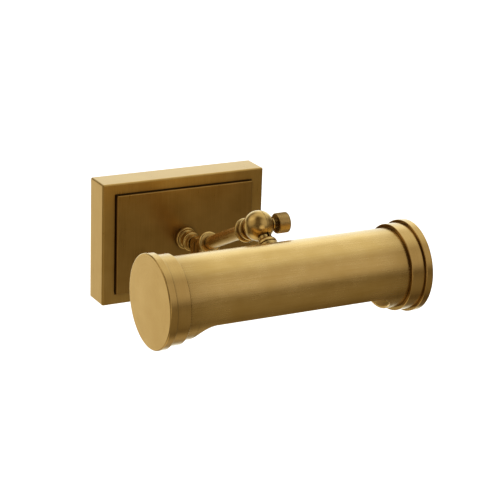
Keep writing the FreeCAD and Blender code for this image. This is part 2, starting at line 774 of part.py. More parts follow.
# Outer half, carried by the shade's stem; it is bored for the thumbscrew and flat under its washer.
flat_face = dim.ball_radius - dim.ball_flat
stem_fit = dim.stem_radius + dim.seat_fit
thread_start = dim.stem_neck - dim.stem_thread
swivel_outer = body("swivel_outer")
turned(swivel_outer, [
    (0, -dim.ball_radius, dim.ball_radius),
    (dim.ball_radius, 0, dim.ball_radius),
    (dim.stem_neck_radius, height_in_ball(dim.ball_radius, dim.stem_neck_radius)),
    (dim.stem_neck_radius, dim.stem_neck),
    (0, dim.stem_neck),
])
turned_cut(swivel_outer, [
    (-clear_ball, 0),
    (outer_face, 0),
    (outer_face, height_in_ball(clear_ball, outer_face), clear_ball),
])
pocket(swivel_outer, circle(sketch(swivel_outer, "YZ_Plane"), 0, 0, thumb_fit), dim.ball_radius)
pocket(swivel_outer, circle(sketch(swivel_outer, "YZ_Plane", flat_face), 0, 0, dim.ball_radius),
       dim.ball_flat)
pocket(swivel_outer, circle(sketch(swivel_outer, "XY_Plane", thread_start), 0, 0, stem_fit), dim.stem_thread)
place(swivel_outer, **along_stem)

# Thumbscrew and the washer that travels with it.
thumb_washer = body("thumb_washer")
pad(thumb_washer, circle(circle(sketch(thumb_washer, "XY_Plane", flat_face + dim.running_fit),
                                0, 0, dim.thumb_washer_radius), 0, 0, thumb_fit), dim.thumb_washer)
place(thumb_washer, **across_ball)

head_start = dim.ball_radius + dim.thumb_gap
head_end = head_start + dim.thumb_head
rim = dim.thumb_head_radius - dim.thumb_chamfer
thumbscrew = body("thumbscrew")
turned(thumbscrew, [
    (0, dim.loose_fit - dim.thumb_reach),
    (dim.thumb_radius, dim.loose_fit - dim.thumb_reach),
    (dim.thumb_radius, head_start),
    (rim, head_start),
    (dim.thumb_head_radius, head_start + dim.thumb_chamfer),
    (dim.thumb_head_radius, head_end - dim.thumb_chamfer),
    (rim, head_end),
    (0, head_end),
])
place(thumbscrew, **across_ball)

# Bell collar between ball and shade; its foot is a saddle cut to the shade's cylinder.
bell_foot = dim.stem_drop - height_in_ball(dim.shade_radius, dim.bell_radius) + dim.bell_foot
neck_fit = dim.stem_neck_radius + dim.seat_fit
bell_collar = body("bell_collar")
turned(bell_collar, [
    (neck_fit, dim.bell_place),
    (dim.bell_top_radius, dim.bell_place, dim.bell_bulge),
    (dim.bell_radius, dim.bell_place + dim.bell_height),
    (dim.bell_radius, bell_foot),
    (stem_fit, bell_foot),
    (stem_fit, dim.stem_neck),
    (neck_fit, dim.stem_neck),
])
pocket(bell_collar, circle(sketch(bell_collar, "YZ_Plane", -dim.bell_radius * 2), 0, dim.stem_drop,
                           dim.shade_radius + dim.seat_fit), dim.bell_radius * 4)
place(bell_collar, **along_stem)

# The shade's axis, and the radius at which the bracket's flat strip lies inside the round wall.
axis_y = ball_y - dim.stem_drop * sine(dim.stem_angle)
axis_z = ball_z + dim.stem_drop * cosine(dim.stem_angle)
shade_inner = dim.shade_radius - dim.shade_wall
strip_back = height_in_ball(shade_inner, dim.bracket_width / 2) - dim.seat_fit
strip_front = strip_back - dim.bracket_sheet
nut_back = strip_front - dim.shade_washer
nut_front = nut_back - dim.shade_nut
stem_start = thread_start - dim.stem_drop
from_axis = {"y": axis_y, "z": axis_z, "tilt": dim.stem_angle}
across_shade = {"y": axis_y, "z": axis_z, "facing": ALONG_X}

# Threaded stem, with a lock washer and nut inside the shade.
shade_stem = body("shade_stem")
stem_length = dim.stem_tail - nut_front - stem_start
pad(shade_stem, circle(circle(sketch(shade_stem, "XY_Plane", stem_start), 0, 0, dim.stem_radius),
                       0, 0, dim.stem_bore), stem_length)
place(shade_stem, **from_axis)

shade_lock_washer = body("shade_lock_washer")
pad(shade_lock_washer, circle(circle(sketch(shade_lock_washer, "XY_Plane", -strip_front),
                                     0, 0, dim.shade_washer_radius), 0, 0, stem_fit), dim.shade_washer)
place(shade_lock_washer, **from_axis)

shade_nut = body("shade_nut")
pad(shade_nut, circle(hexagon(sketch(shade_nut, "XY_Plane", -nut_back), dim.shade_nut_flats), 0, 0, stem_fit),
    dim.shade_nut)
place(shade_nut, **from_axis)

# Shade tube: a round tube whose mouth is cut away below, with rounded corners near its ends.
tube_half = dim.shade_length / 2 - dim.cap_width
mouth_half = tube_half - dim.ring_width - dim.mouth_margin
mouth_edge = dim.shade_radius * cosine(dim.mouth_angle)
clear_of_shade = dim.cap_radius
shade_shell = body("shade_shell")
pad(shade_shell, circle(circle(sketch(shade_shell, "YZ_Plane", -tube_half), 0, 0, dim.shade_radius),
                        0, 0, shade_inner), tube_half * 2)
pocket(shade_shell, outline(sketch(shade_shell, "XZ_Plane", -clear_of_shade), [
    (-mouth_half, -clear_of_shade),
    (mouth_half, -clear_of_shade),
    (mouth_half, -mouth_edge - dim.mouth_corner, dim.mouth_corner),
    (mouth_half - dim.mouth_corner, -mouth_edge),
    (dim.mouth_corner - mouth_half, -mouth_edge, dim.mouth_corner),
    (-mouth_half, -mouth_edge - dim.mouth_corner),
]), clear_of_shade * 2)
stem_drill = doc.addObject("Part::Cylinder", "stem_drill")
bind(stem_drill, "Radius", dim.stem_radius + dim.loose_fit)
bind(stem_drill, "Height", clear_of_shade)
set_place(stem_drill, tilt=dim.stem_angle + 180)
shade_tube = doc.addObject("Part::Cut", "shade_tube")
shade_tube.Label = "shade_tube"
shade_tube.Base = shade_shell
shade_tube.Tool = stem_drill
place(shade_tube, y=axis_y, z=axis_z)

# Rings round the tube's ends.
end_ring_right = body("end_ring_right")
ring_fit = dim.shade_radius + dim.seat_fit
turned(end_ring_right, [
    (ring_fit, tube_half - dim.ring_width),
    (dim.ring_radius - dim.rim_chamfer, tube_half - dim.ring_width),
    (dim.ring_radius, tube_half - dim.ring_width + dim.rim_chamfer),
    (dim.ring_radius, tube_half),
    (ring_fit, tube_half),
])
place(end_ring_right, **across_shade)
mirrored("end_ring_left", end_ring_right)

# End caps: a flat disc with a rounded edge and a spigot that plugs the tube.
shade_end = dim.shade_length / 2
spigot_outer = shade_inner - dim.seat_fit
spigot_inner = spigot_outer - dim.cap_spigot_wall
end_cap_right = body("end_cap_right")
turned(end_cap_right, [
    (0, shade_end - dim.cap_wall),
    (spigot_inner, shade_end - dim.cap_wall),
    (spigot_inner, tube_half - dim.cap_spigot),
    (spigot_outer, tube_half - dim.cap_spigot),
    (spigot_outer, tube_half),
    (dim.cap_radius - dim.rim_chamfer, tube_half),
    (dim.cap_radius, tube_half + dim.rim_chamfer),
    (dim.cap_radius, shade_end - dim.cap_round, dim.cap_round),
    (dim.cap_radius - dim.cap_round, shade_end),
    (0, shade_end),
])
place(end_cap_right, **across_shade)
mirrored("end_cap_left", end_cap_right)

# Bracket: a bent strip under the stem's nut; its leg crosses the shade and holds the lamp holder.
leg_inner = -dim.holder_place
leg_outer = leg_inner - dim.bracket_sheet
bracket_outer_bend = dim.bracket_bend + dim.bracket_sheet
holder_bracket = body("holder_bracket")
pad(holder_bracket, outline(sketch(holder_bracket, "XZ_Plane", -dim.bracket_width / 2), [
    (leg_outer + bracket_outer_bend, -strip_back),
    (dim.bracket_tail, -strip_back),
    (dim.bracket_tail, -strip_front),
    (leg_inner + dim.bracket_bend, -strip_front, -dim.bracket_bend),
    (leg_inner, dim.bracket_bend - strip_front),
    (leg_inner, dim.bracket_leg),
    (leg_outer, dim.bracket_leg),
    (leg_outer, bracket_outer_bend - strip_back, bracket_outer_bend),
]), dim.bracket_width)
pocket(holder_bracket, circle(sketch(holder_bracket, "XY_Plane", -strip_back),
                              0, 0, dim.stem_radius + dim.loose_fit), dim.bracket_sheet)
pocket(holder_bracket, circle(sketch(holder_bracket, "YZ_Plane", leg_outer), 0, 0,
                              dim.holder_screw_radius + dim.seat_fit), dim.bracket_sheet)
place(holder_bracket, **from_axis)

# Lamp holder: a moulded cup with a screw shell and a centre contact, fixed by one screw through its floor.
floor_top = leg_inner + dim.holder_floor
holder_mouth = leg_inner + dim.holder_length
holder_bore = dim.holder_radius - dim.holder_wall
screw_fit = dim.holder_screw_radius + dim.seat_fit
lamp_holder = body("lamp_holder")
turned(lamp_holder, [
    (screw_fit, leg_inner),
    (dim.holder_radius, leg_inner),
    (dim.holder_radius, holder_mouth),
    (holder_bore, holder_mouth),
    (holder_bore, floor_top),
    (screw_fit, floor_top),
])
place(lamp_holder, **across_shade)

holder_screw = body("holder_screw")
turned(holder_screw, [
    (0, leg_outer - dim.holder_screw_head),
    (dim.holder_screw_head_radius, leg_outer - dim.holder_screw_head),
    (dim.holder_screw_head_radius, leg_outer),
    (dim.holder_screw_radius, leg_outer),
    (dim.holder_screw_radius, floor_top),
    (0, floor_top),
])
place(holder_screw, **across_shade)

holder_shell = body("holder_shell")
shell_outer = holder_bore - dim.seat_fit
pad(holder_shell, circle(circle(sketch(holder_shell, "XY_Plane", floor_top), 0, 0, shell_outer),
                         0, 0, shell_outer - dim.shell_wall), dim.shell_length)
place(holder_shell, **across_shade)

centre_contact = body("centre_contact")
contact_top = floor_top + dim.contact_height
turned(centre_contact, [
    (0, floor_top),
    (dim.contact_radius, floor_top),
    (dim.contact_radius - dim.contact_height / 2, contact_top),
    (0, contact_top),
])
place(centre_contact, **across_shade)

# Tubular lamp: metal screw base, glass envelope and the filament stick inside.
base_end = contact_top + dim.base_length
glass_end = base_end + dim.glass_length
glass_inner = dim.glass_radius - dim.glass_wall
lamp_base = body("lamp_base")
turned(lamp_base, [
    (0, contact_top),
    (dim.base_tip_radius, contact_top),
    (dim.base_radius, contact_top + dim.base_tip),
    (dim.base_radius, base_end),
    (0, base_end),
])
place(lamp_base, **across_shade)

lamp_glass = body("lamp_glass")
turned(lamp_glass, [
    (dim.base_radius - dim.glass_wall, base_end),
    (dim.base_radius, base_end),
    (dim.glass_radius, base_end + dim.glass_shoulder),
    (dim.glass_radius, glass_end - dim.glass_radius, dim.glass_radius),
    (0, glass_end),
    (0, glass_end - dim.glass_wall, -glass_inner),
    (glass_inner, glass_end - dim.glass_radius),
    (glass_inner, base_end + dim.glass_shoulder),
])
place(lamp_glass, **across_shade)

lamp_filament = body("lamp_filament")
turned(lamp_filament, [
    (0, base_end),
    (dim.filament_post_radius, base_end),
    (dim.filament_post_radius, base_end + dim.filament_post),
    (dim.filament_radius, base_end + dim.filament_post + dim.filament_post_radius),
    (dim.filament_radius, base_end + dim.filament_length),
    (0, base_end + dim.filament_length),
])
place(lamp_filament, **across_shade)

# Check every object, then write each sub-part to its own file.
doc.recompute()
for thing in doc.Objects:
    if "Invalid" in thing.State or "Error" in thing.State:
        raise RuntimeError(f"{thing.Label} failed: {thing.State}")
os.makedirs("parts", exist_ok=True)
for piece in pieces:
    if piece.Shape.isNull() or not piece.Shape.isValid():
        raise RuntimeError(f"{piece.Label} has no valid shape")
    piece.Shape.exportStep(f"parts/{piece.Label}.step")
    corner = piece.Shape.BoundBox
    print(f"{piece.Label:20s} {len(piece.Shape.Solids)} solid {piece.Shape.Volume:10.1f} mm3  "
          f"x {corner.XMin:7.2f} {corner.XMax:7.2f}  y {corner.YMin:8.2f} {corner.YMax:7.2f}  "
          f"z {corner.ZMin:7.2f} {corner.ZMax:7.2f}")
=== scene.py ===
import bmesh
import bpy
import json
import math
from mathutils import Matrix, Vector


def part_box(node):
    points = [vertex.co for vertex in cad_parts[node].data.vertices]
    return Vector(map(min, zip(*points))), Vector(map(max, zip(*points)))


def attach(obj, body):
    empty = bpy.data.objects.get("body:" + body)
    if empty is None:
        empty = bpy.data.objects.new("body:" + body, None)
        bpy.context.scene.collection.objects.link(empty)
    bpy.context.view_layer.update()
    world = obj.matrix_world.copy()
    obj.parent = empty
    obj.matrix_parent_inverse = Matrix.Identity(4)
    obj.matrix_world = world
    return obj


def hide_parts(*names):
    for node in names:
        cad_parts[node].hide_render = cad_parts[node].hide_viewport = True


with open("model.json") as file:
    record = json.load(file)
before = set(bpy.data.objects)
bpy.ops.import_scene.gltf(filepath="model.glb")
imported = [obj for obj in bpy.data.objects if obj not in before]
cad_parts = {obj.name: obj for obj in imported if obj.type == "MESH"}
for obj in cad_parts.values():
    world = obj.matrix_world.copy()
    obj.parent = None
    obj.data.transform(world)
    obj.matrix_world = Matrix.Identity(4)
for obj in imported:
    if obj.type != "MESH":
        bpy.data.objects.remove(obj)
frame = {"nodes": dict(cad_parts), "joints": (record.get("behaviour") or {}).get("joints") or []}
nodes = frame["nodes"]
hinges = {joint["name"]: joint for joint in frame["joints"]}
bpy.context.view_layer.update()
MM = 0.001


# Box strap, plate hanger, rivets, nuts and lock washers, and inside the shade the bracket with its screw.
# Pressed from mild steel strip and bright zinc plated: a cool grey metal with faint rolling streaks and
# cloudy passivation. The hanger is riveted to the strap, and the strap is screwed to the wall box.

def linear(code):
    """An sRGB hex colour as linear values with full alpha."""
    parts = [int(code[i:i + 2], 16) / 255 for i in (1, 3, 5)]
    return [c / 12.92 if c <= 0.04045 else ((c + 0.055) / 1.055) ** 2.4 for c in parts] + [1.0]


def per_metre(size):
    """How many marks of a size in mm fit in a metre, which is what a pattern's Scale asks for."""
    return 1 / (size * MM)


def add(tree, kind, values=None, links=None, **settings):
    """Adds a node with its settings, its sockets' values and its incoming links."""
    node = tree.nodes.new(kind)
    for name, value in settings.items():
        setattr(node, name, value)
    for socket, value in (values or {}).items():
        node.inputs[socket].default_value = value
    for socket, source in (links or {}).items():
        tree.links.new(source, node.inputs[socket])
    return node


def blank(name, **values):
    """A new material, its node tree and its shader, with the shader's own sockets set."""
    material = bpy.data.materials.new(name)
    material.use_nodes = True
    shader = material.node_tree.nodes["Principled BSDF"]
    for socket, value in values.items():
        shader.inputs[socket.replace("_", " ")].default_value = value
    return material, material.node_tree, shader


def mottled(name, size, detail, dark, light, span=(0.0, 1.0), swirl=0.0, **values):
    """A material whose colour drifts between two tones in patches of a size in mm; span is how much of the
    drift lies between the tones. Gives it with its node tree, its shader and its patches."""
    material, tree, shader = blank(name, **values)
    place = add(tree, "ShaderNodeTexCoord")
    patches = add(tree, "ShaderNodeTexNoise",
                  {"Scale": per_metre(size), "Detail": detail, "Distortion": swirl},
                  {"Vector": place.outputs["Object"]})
    tone = add(tree, "ShaderNodeValToRGB", None, {"Fac": patches.outputs["Fac"]})
    for stop, position, code in zip(tone.color_ramp.elements, span, (dark, light)):
        stop.position, stop.color = position, linear(code)
    tree.links.new(tone.outputs["Color"], shader.inputs["Base Color"])
    return material, tree, shader, patches


def dress(material, *names):
    """Gives CAD nodes their finish."""
    for name in names:
        nodes[name].data.materials.clear()
        nodes[name].data.materials.append(material)


cloud_size, streak_length, streak_width = 14.3, 20.0, 0.625
zinc, tree, shader = mottled("zinc_plated_steel", cloud_size, 3.0, "#A9ADB0", "#C3C4C0", (0.35, 0.68),
                             Metallic=1.0)[:3]
place = add(tree, "ShaderNodeTexCoord")
rolled = add(tree, "ShaderNodeMapping",
             {"Scale": (per_metre(streak_length), per_metre(streak_width), per_metre(streak_width))},
             {"Vector": place.outputs["Object"]})
streak = add(tree, "ShaderNodeTexNoise", {"Scale": 1.0, "Detail": 2.0}, {"Vector": rolled.outputs["Vector"]})
dull = add(tree, "ShaderNodeMapRange", {"To Min": 0.30, "To Max": 0.44}, {"Value": streak.outputs["Fac"]})
relief = add(tree, "ShaderNodeBump", {"Strength": 0.15, "Distance": 0.05 * MM},
             {"Height": streak.outputs["Fac"]})
tree.links.new(dull.outputs["Result"], shader.inputs["Roughness"])
tree.links.new(relief.outputs["Normal"], shader.inputs["Normal"])
dress(zinc, "box_strap", "canopy_hanger", "hanger_rivets", "nipple_lock_washer", "nipple_nut",
      "shade_lock_washer", "shade_nut", "holder_bracket", "holder_screw")


# Earthing screw: a slotted steel screw dipped in green enamel, driven into the strap.
# Enamel gives a glossy coat that pools unevenly, every 2 mm or so.

enamel, tree, shader, pool = mottled("green_enamel", 2.0, 2.0, "#1D6B3A", "#2F8A4E", Roughness=0.28, IOR=1.5)
relief = add(tree, "ShaderNodeBump", {"Strength": 0.2, "Distance": 0.05 * MM}, {"Height": pool.outputs["Fac"]})
tree.links.new(relief.outputs["Normal"], shader.inputs["Normal"])
dress(enamel, "ground_screw")


# Wire bushing in the nipple's mouth and the friction washer of the root hinge: moulded black nylon,
# slightly waxy, with faint flow marks. The bushing is pushed in, the washer is held by the pivot screw.

nylon = mottled("moulded_black_nylon", 3.33, 2.0, "#22201D", "#302D29", Roughness=0.42, IOR=1.53)[0]
dress(nylon, "nipple_bushing", "pivot_washer")


# Wall plate: a shallow cast brass box, open at the back, its front milled for the raised panel.
# Satin lacquered brass, brushed top to bottom; it slips over the hanger's tabs and two screws hold it.

def satin_brass(name, placed, grain, dullness, dark="#D2AF6C", light="#E4C585", browner_ends=None):
    """Hand-rubbed satin brass. grain is the size of its brush marks in mm along the piece's own axes, or one
    number, the width of the tool marks round a turned piece's Z axis. placed puts the piece in the frame.
    browner_ends is where a browner tone starts and is full, in mm along Z from the middle."""
    material, tree, shader = blank(name, Metallic=1.0)
    back = placed.inverted()
    spot = add(tree, "ShaderNodeTexCoord")
    own = add(tree, "ShaderNodeMapping", {"Location": back.translation, "Rotation": back.to_euler()},
              {"Vector": spot.outputs["Object"]})
    split = add(tree, "ShaderNodeSeparateXYZ", None, {"Vector": own.outputs["Vector"]})
    # Real marks are about 0.1 mm wide. They are drawn four or five times as coarse, so that they show.
    if isinstance(grain, tuple):
        marks = add(tree, "ShaderNodeMapping", {"Scale": [per_metre(size) for size in grain]},
                    {"Vector": own.outputs["Vector"]})
    else:
        flat = add(tree, "ShaderNodeCombineXYZ", None, {"X": split.outputs["X"], "Y": split.outputs["Y"]})
        radius = add(tree, "ShaderNodeVectorMath", None, {0: flat.outputs["Vector"]}, operation="LENGTH")
        rings = add(tree, "ShaderNodeCombineXYZ", None,
                    {"X": radius.outputs["Value"], "Y": split.outputs["Z"]})
        marks = add(tree, "ShaderNodeMapping", {"Scale": [per_metre(grain)] * 3},
                    {"Vector": rings.outputs["Vector"]})
    streak = add(tree, "ShaderNodeTexNoise", {"Scale": 1.0, "Detail": 1.0, "Roughness": 0.5},
                 {"Vector": marks.outputs["Vector"]})
    # Clouds 18 mm across, where the finish was rubbed unevenly.
    cloud = add(tree, "ShaderNodeTexNoise", {"Scale": per_metre(18.2), "Detail": 3.0, "Roughness": 0.55},
                {"Vector": own.outputs["Vector"]})
    shift = add(tree, "ShaderNodeMix", {"Factor": 0.35},
                {"A": cloud.outputs["Fac"], "B": streak.outputs["Fac"]})
    tone = add(tree, "ShaderNodeValToRGB", None, {"Fac": shift.outputs["Result"]})
    for stop, position, code in zip(tone.color_ramp.elements, (0.36, 0.64), (dark, light)):
        stop.position, stop.color = position, linear(code)
    colour = tone.outputs["Color"]
    # Corners up to 8 mm wide turn olive brown by their ambient occlusion: partly patina, where a cloth
    # doesn't reach, and partly painted shade, where shade falls in them.
    corner = add(tree, "ShaderNodeAmbientOcclusion", {"Distance": 8 * MM}, samples=8)
    patina_and_shade = add(tree, "ShaderNodeMapRange", {"From Min": 0.25, "From Max": 0.9, "To Min": 0.8, "To Max": 0.0},
               {"Value": corner.outputs["AO"]})
    colour = add(tree, "ShaderNodeMix", {"B": linear("#64573C")},
                 {"Factor": patina_and_shade.outputs["Result"], "A": colour}, data_type="RGBA").outputs["Result"]
    # Towards both ends along Z the colour turns browner.
    if browner_ends:
        start, stop = browner_ends
        far = add(tree, "ShaderNodeMath", None, {0: split.outputs["Z"]}, operation="ABSOLUTE")
        browner_amount = add(tree, "ShaderNodeMapRange",
                    {"From Min": start * MM, "From Max": stop * MM, "To Max": 0.30},
                    {"Value": far.outputs["Value"]}, interpolation_type="SMOOTHSTEP")
        colour = add(tree, "ShaderNodeMix", {"B": linear("#8A6830")},
                     {"Factor": browner_amount.outputs["Result"], "A": colour}, data_type="RGBA").outputs["Result"]
    dull = add(tree, "ShaderNodeMapRange", {"From Min": 0.3, "From Max": 0.7, "To Min": dullness - 0.035,
                                            "To Max": dullness + 0.035}, {"Value": shift.outputs["Result"]})
    relief = add(tree, "ShaderNodeBump", {"Strength": 0.025, "Distance": 0.03 * MM},
                 {"Height": streak.outputs["Fac"]})
    tree.links.new(colour, shader.inputs["Base Color"])
    tree.links.new(dull.outputs["Result"], shader.inputs["Roughness"])
    tree.links.new(relief.outputs["Normal"], shader.inputs["Normal"])
    return material


def piece(name, shape, material, flats=True):
    """The finished mesh as an object: smooth faces, crisp at true corners, and even across large flats."""
    for face in shape.faces:
        face.smooth = True
    for edge in shape.edges:
        edge.smooth = edge.is_manifold and edge.calc_face_angle() < math.radians(40)
    mesh = bpy.data.meshes.new(name)
    shape.to_mesh(mesh)
    shape.free()
    mesh.materials.append(material)
    made = bpy.data.objects.new(name, mesh)
    bpy.context.scene.collection.objects.link(made)
    if flats:
        made.modifiers.new("even_shading", "WEIGHTED_NORMAL").keep_sharp = True
    return made


def block(shape, low, high, placed=Matrix.Identity(4)):
    """Adds a box between two corners, and gives its edges."""
    made = bmesh.ops.create_cube(shape, size=1, matrix=placed @ Matrix.Translation((low + high) / 2)
                                 @ Matrix.Diagonal((*(high - low), 1)))
    return list({edge for corner in made["verts"] for edge in corner.link_edges})


def soften(shape, edges, softness, segments=2):
    """Rounds edges by a softness in mm."""
    bmesh.ops.bevel(shape, geom=edges, offset=softness * MM, offset_type="OFFSET", affect="EDGES",
                    segments=segments, profile=0.5, material=-1)


def extruded(shape, face):
    """Extrudes a face, takes the old one away and gives the new one, with its place still to be set."""
    made = bmesh.ops.extrude_face_region(shape, geom=[face])["geom"]
    new = next(part for part in made if isinstance(part, bmesh.types.BMFace))
    bmesh.ops.delete(shape, geom=[face], context="FACES_ONLY")
    return new


def step(shape, face, half_width, half_height, out):
    """Gives an upright face a step: an outline of a new size in its own plane, then a wall along Y."""
    outline = extruded(shape, face)
    wide, tall = (max(corner.co[axis] for corner in outline.verts) for axis in (0, 2))
    bmesh.ops.scale(shape, verts=outline.verts, vec=(half_width / wide, 1, half_height / tall))
    bmesh.ops.translate(shape, verts=extruded(shape, outline).verts, vec=(0, out, 0))


upright = Matrix.Identity(4)
plate_low, plate_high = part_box("canopy")
panel_low, panel_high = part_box("face_panel")
plate_wall, plate_front_wall, plate_round, rim_round = 2.0, 2.6, 1.2, 0.25
panel_gap, panel_seat = 0.5, 1.0
brushed_down = (0.5, 0.5, 22.0)
# The plate's tones are darker than the turned brass: painted shade for its front, which lies behind the shade
# and arm.
shaded_plate_brass = satin_brass("satin_brass_plate_painted_shade", upright, brushed_down, 0.30, "#C6A25F", "#D0AE6D")
shape = bmesh.new()
block(shape, plate_low, plate_high)
soften(shape, [edge for edge in shape.edges if min(corner.co.y for corner in edge.verts) < plate_low.y + MM],
       plate_round, segments=4)
front = min(shape.faces, key=lambda face: face.calc_center_median().y)
step(shape, front, panel_high.x + panel_gap * MM, panel_high.z + panel_gap * MM, panel_seat * MM)
rear = max(shape.faces, key=lambda face: face.calc_center_median().y)
step(shape, rear, plate_high.x - plate_wall * MM, plate_high.z - plate_wall * MM,
     plate_low.y + plate_front_wall * MM - plate_high.y)
soften(shape, [edge for edge in shape.edges if edge.is_manifold and edge.calc_face_angle() > math.radians(60)
               and any(all(abs(corner.co.y - plane) < MM / 100 for corner in edge.verts)
                       for plane in (plate_low.y, 0))], rim_round)
bmesh.ops.recalc_face_normals(shape, faces=shape.faces)
wall_plate = piece("wall_plate", shape, shaded_plate_brass)
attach(wall_plate, "wall_mount")
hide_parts("canopy")
dress(shaded_plate_brass, "canopy", "canopy_screws")


# Raised panel: a separate brass slab with softened edges, let into the plate's front with a fine gap
# all round and clamped there by the stub. Brushed the same way as the plate; its darker tones are painted
# shade.

panel_round = 0.6
# The darker tones stand in for the shade cast on the panel by the lamp's shade and arm.
shaded_panel_brass = satin_brass("satin_brass_panel_painted_shade", upright, brushed_down, 0.30, "#AE8C50", "#BA985C")
shape = bmesh.new()
block(shape, panel_low, panel_high)
soften(shape, [edge for edge in shape.edges
               if min(corner.co.y for corner in edge.verts) < panel_low.y + MM / 10], panel_round, segments=4)
raised_panel = piece("raised_panel", shape, shaded_panel_brass)
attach(raised_panel, "wall_mount")
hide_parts("face_panel")
dress(shaded_panel_brass, "face_panel")


# Stub: turned from brass bar with a foot, a cove and a half-round bead, then flatted into one lug of the
# root hinge. A threaded nipple draws it against the panel from inside the plate.

def along(origin, towards, across=(1, 0, 0)):
    """Puts a piece's own Z along a direction, and its X across it."""
    towards, across = Vector(towards), Vector(across)
    turn = Matrix((across, towards.cross(across), towards)).transposed()
    return Matrix.Translation(origin) @ turn.to_4x4()


def lathe(shape, placed, profile, closed=False, steps=96):
    """Turns a profile of (height, radius, softness) corners in mm about Z and adds it to the shape."""
    work = bmesh.new()
    corners = [work.verts.new((radius * MM, 0, height * MM)) for height, radius, softness in profile]
    for first, second in zip(corners, corners[1:] + corners[:1] * closed):
        work.edges.new((first, second))
    for softness in sorted({softness for height, radius, softness in profile if softness}):
        soft = [corner for corner, point in zip(corners, profile) if point[2] == softness]
        bmesh.ops.bevel(work, geom=soft, offset=softness * MM, offset_type="OFFSET", affect="VERTICES",
                        segments=min(24, 3 + round(softness * 4)), profile=0.5, material=-1)
    bmesh.ops.spin(work, geom=work.verts[:] + work.edges[:], cent=(0, 0, 0), axis=(0, 0, 1), dvec=(0, 0, 0),
                   angle=math.tau, steps=steps, use_merge=True)
    bmesh.ops.remove_doubles(work, verts=work.verts, dist=MM / 500)
    bmesh.ops.recalc_face_normals(work, faces=work.faces)
    work.transform(placed)
    part = bpy.data.meshes.new("turning")
    work.to_mesh(part)
    work.free()
    shape.from_mesh(part)
    bpy.data.meshes.remove(part)


def bead(start, width, inner, outer, fillet=0.3):
    """Corners of a half-round bead on a turned piece; the fillet is where it meets the neck on each side."""
    # Both bends stop a hair short of each other and of the fillet, so that no two corners meet.
    bend = min(width / 2, (outer - inner - fillet) / 1.01)
    near, far = bend * (1 - math.tan(math.pi / 8)), bend * math.tan(math.pi / 8) * 0.999
    end = start + width
    return [(start, inner, fillet), (start, outer - near, far), (start + near, outer, far),
            (end - near, outer, far), (end, outer - near, far), (end, inner, fillet)]


def web(shape, placed, low, high):
    """A rectangular web between two corners in mm, with softened edges."""
    soften(shape, block(shape, Vector(low) * MM, Vector(high) * MM, placed), 0.3)


pivot = Vector(hinges["arm_tilt"]["pos_m"])
on_panel = along((0, panel_low.y, 0), (0, -1, 0))
across_root = along(pivot, (1, 0, 0), (0, 1, 0))
stub_pivot = (panel_low.y - pivot.y) / MM
foot_radius, foot_height, stub_radius = 7.4, 2.9, 5.0
stub_bead_start, root_bead_width, stub_bead_radius = 7.4, 3.0, 6.4
lug_radius, lug_bore, lug_face, lug_sheet, lug_web, shoulder = 6.5, 2.05, 0.25, 3.4, 4.7, 7.0
web_root, web_short = 1.0, 3.2
lug_out = lug_face + lug_sheet
stub_end = stub_pivot - shoulder
stub_brass = satin_brass("satin_brass_stub", on_panel, 0.5, 0.26)
shape = bmesh.new()
lathe(shape, on_panel, [(0, 0, 0), (0, foot_radius, 0.1), (foot_height, foot_radius, 0.9),
                        (foot_height, stub_radius, 1.3),
                        *bead(stub_bead_start, root_bead_width, stub_radius, stub_bead_radius, 0.2),
                        (stub_end, stub_radius, 0.3), (stub_end, 0, 0)])
lathe(shape, across_root, [(lug_face, lug_bore, 0.1), (lug_face, lug_radius, 0.2), (lug_out, lug_radius, 0.4),
                           (lug_out, lug_bore, 0.1)], closed=True)
web(shape, on_panel, (lug_face, -lug_web, stub_end - web_root), (lug_out, lug_web, stub_pivot - web_short))
turned_stub = piece("turned_stub", shape, stub_brass)
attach(turned_stub, "wall_mount")
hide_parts("stub")
dress(stub_brass, "stub", "threaded_nipple")


# Root knuckle: the other lug of the hinge, a turned collar and a bead, bored for the arm's tube, which is
# pressed in. A countersunk slotted pivot screw and a hexagon nut hold the hinge; all satin brass.

ball = Vector(hinges["shade_tilt"]["pos_m"])
arm_way = (ball - pivot).normalized()
arm_length = (ball - pivot).length / MM
on_arm = along(pivot, arm_way)
arm_brass = satin_brass("satin_brass_arm", on_arm, 0.5, 0.26)
knuckle_radius, knuckle_bead_start, knuckle_bead_radius = 5.3, 14.4, 7.45
socket, socket_radius = 12.0, 4.3
screw_head_radius, screw_head_depth, knuckle_web_start = 3.45, 1.4, 3.9
shape = bmesh.new()
lathe(shape, on_arm, [(shoulder, 0, 0), (shoulder, knuckle_radius, 0.3),
                      *bead(knuckle_bead_start, root_bead_width, knuckle_radius, knuckle_bead_radius)[:-1],
                      (knuckle_bead_start + root_bead_width, socket_radius, 0.1), (socket, socket_radius, 0),
                      (socket, 0, 0)])
lathe(shape, across_root, [(-lug_out, screw_head_radius, 0), (-lug_out, lug_radius, 0.4),
                           (-lug_face, lug_radius, 0.2), (-lug_face, lug_bore, 0),
                           (screw_head_depth - lug_out, lug_bore, 0)], closed=True)
web(shape, on_arm, (-lug_out, -lug_web, knuckle_web_start), (-lug_face, lug_web, shoulder + web_root))
root_knuckle = piece("root_knuckle", shape, arm_brass)
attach(root_knuckle, "arm")
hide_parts("arm_knuckle")
pivot_brass = satin_brass("satin_brass_pivot", across_root, 0.4, 0.28)
dress(arm_brass, "arm_knuckle")
dress(pivot_brass, "pivot_screw", "pivot_nut")


# Arm tube: drawn brass tube, brushed along its length, pressed into the knuckle and the end collar. The
# mains wires run inside it.

